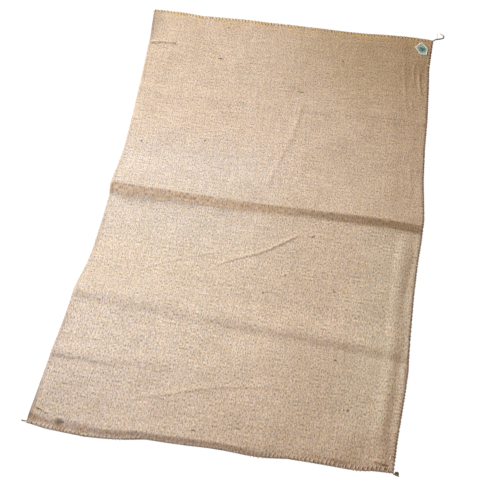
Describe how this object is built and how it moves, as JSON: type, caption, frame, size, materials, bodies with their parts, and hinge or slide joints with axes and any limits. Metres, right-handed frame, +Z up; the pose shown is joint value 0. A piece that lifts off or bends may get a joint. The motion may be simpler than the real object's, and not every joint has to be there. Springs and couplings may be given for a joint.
{
  "type": "jute sack",
  "caption": "Empty jute sack lying flat, one hessian panel folded double, with whipped side and bottom seams, an open mouth and standing fold creases.",
  "frame": {"origin": "on the ground, under the middle of the sack's bounding box", "axes": "+Y up the sack from the bottom seam to the open mouth, +X from the folded edge to the side seam, +Z up off the ground"},
  "size_m": [0.624, 1.0873, 0.0266],
  "materials": {
    "hessian": "matt plain-woven jute, natural tan, slubby",
    "seam_twine": "matt jute twine, whipped stitches",
    "loose_twine": "matt hairy jute twine",
    "label_cloth": "smooth white woven label with a plain teal ornament"
  },
  "bodies": {
    "root": {"sack_cloth": "hessian", "side_seam": "seam_twine", "bottom_seam": "seam_twine", "label": "label_cloth", "seam_tail": "loose_twine", "bottom_stub": "loose_twine", "bottom_knot": "loose_twine"}
  },
  "joints": []
}
